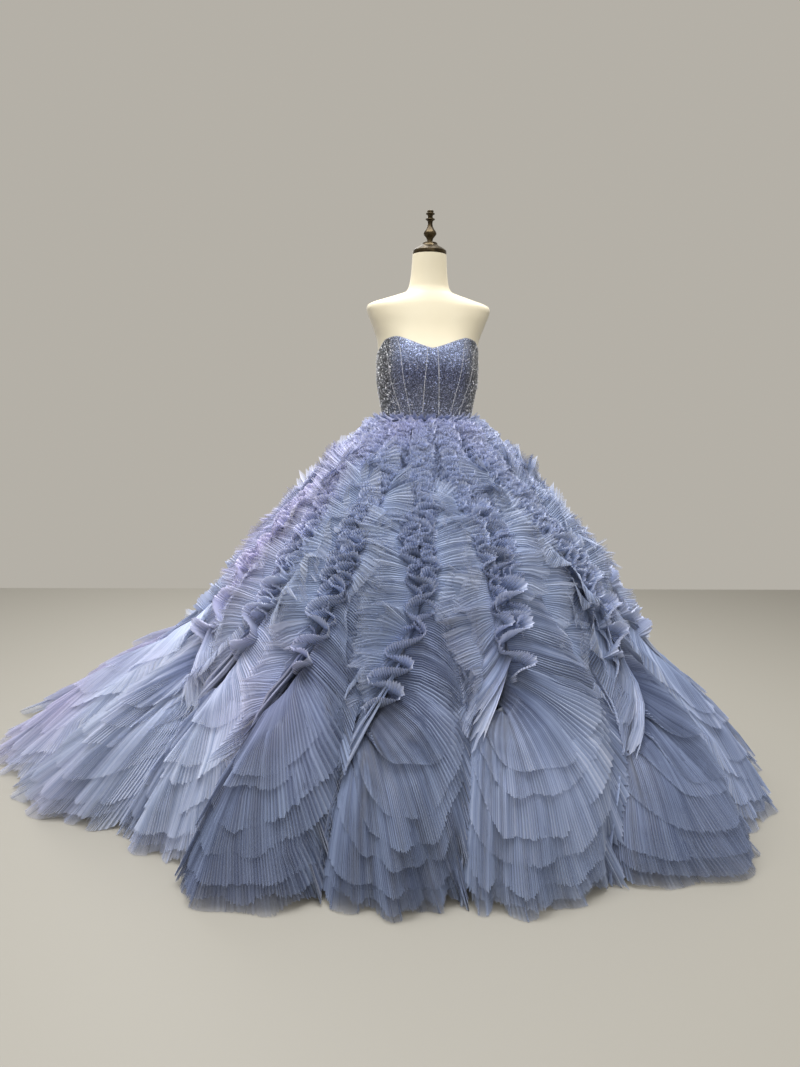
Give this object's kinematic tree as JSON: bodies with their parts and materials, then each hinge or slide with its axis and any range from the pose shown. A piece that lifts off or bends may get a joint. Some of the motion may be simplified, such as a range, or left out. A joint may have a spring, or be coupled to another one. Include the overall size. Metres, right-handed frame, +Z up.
{
  "type": "evening gown on a dress form",
  "caption": "Strapless ball gown with a beaded sweetheart bodice and pleated net cascades spreading into a train, standing on a limbless dress form.",
  "frame": {"origin": "on the floor, at the middle of the underside of the dress form's base", "axes": "+Z up; the gown's front faces -Y; +X is to the right of someone looking at the front"},
  "size_m": [2.4921, 2.4944, 1.68],
  "materials": {
    "form_cloth": "matt cream cotton cover",
    "finial_bronze": "dark antique bronze",
    "pole_steel": "satin",
    "base_paint": "satin dark grey",
    "beaded_cloth": "slate blue cloth thick with silver beads",
    "zip_metal": "bright",
    "foundation_net": "matt dusty blue",
    "pleated_net": "finely pleated dusty blue net"
  },
  "bodies": {
    "gown": {"form_torso": "form_cloth", "form_finial": "finial_bronze", "form_pole": "pole_steel", "form_base": "base_paint", "bodice_centre_front": "beaded_cloth", "bodice_front_right": "beaded_cloth", "bodice_front_left": "beaded_cloth", "bodice_side_front_right": "beaded_cloth", "bodice_side_front_left": "beaded_cloth", "bodice_side_right": "beaded_cloth", "bodice_side_left": "beaded_cloth", "bodice_back_right": "beaded_cloth", "bodice_back_left": "beaded_cloth", "zip_slider": "zip_metal", "foundation_front": "foundation_net", "foundation_right": "foundation_net", "foundation_back": "foundation_net", "foundation_left": "foundation_net", "waist_ruffle": "pleated_net", "wing_01": "pleated_net", "wing_02": "pleated_net", "wing_03": "pleated_net", "wing_04": "pleated_net", "wing_05": "pleated_net", "wing_06": "pleated_net", "wing_07": "pleated_net", "wing_08": "pleated_net", "wing_09": "pleated_net", "wing_10": "pleated_net", "wing_11": "pleated_net", "wing_12": "pleated_net", "wing_13": "pleated_net", "wing_14": "pleated_net", "wing_15": "pleated_net", "frill_01": "pleated_net", "frill_02": "pleated_net", "frill_03": "pleated_net", "frill_04": "pleated_net", "frill_05": "pleated_net", "frill_06": "pleated_net", "frill_07": "pleated_net", "frill_08": "pleated_net", "frill_09": "pleated_net", "frill_10": "pleated_net", "frill_11": "pleated_net", "frill_12": "pleated_net", "frill_13": "pleated_net", "frill_14": "pleated_net", "frill_15": "pleated_net", "hem_tier_upper_front": "pleated_net", "hem_tier_upper_right": "pleated_net", "hem_tier_upper_back": "pleated_net", "hem_tier_upper_left": "pleated_net", "hem_tier_lower_front": "pleated_net", "hem_tier_lower_right": "pleated_net", "hem_tier_lower_back": "pleated_net", "hem_tier_lower_left": "pleated_net"},
    "pull_tab": {"zip_pull": "zip_metal"}
  },
  "joints": [
    {"name": "pull_tab_swing", "type": "hinge", "parent": "gown", "child": "pull_tab", "pos_m": [0, 0.10959, 1.21], "axis": [1, 0, 0], "range_deg": [0, 160]}
  ]
}
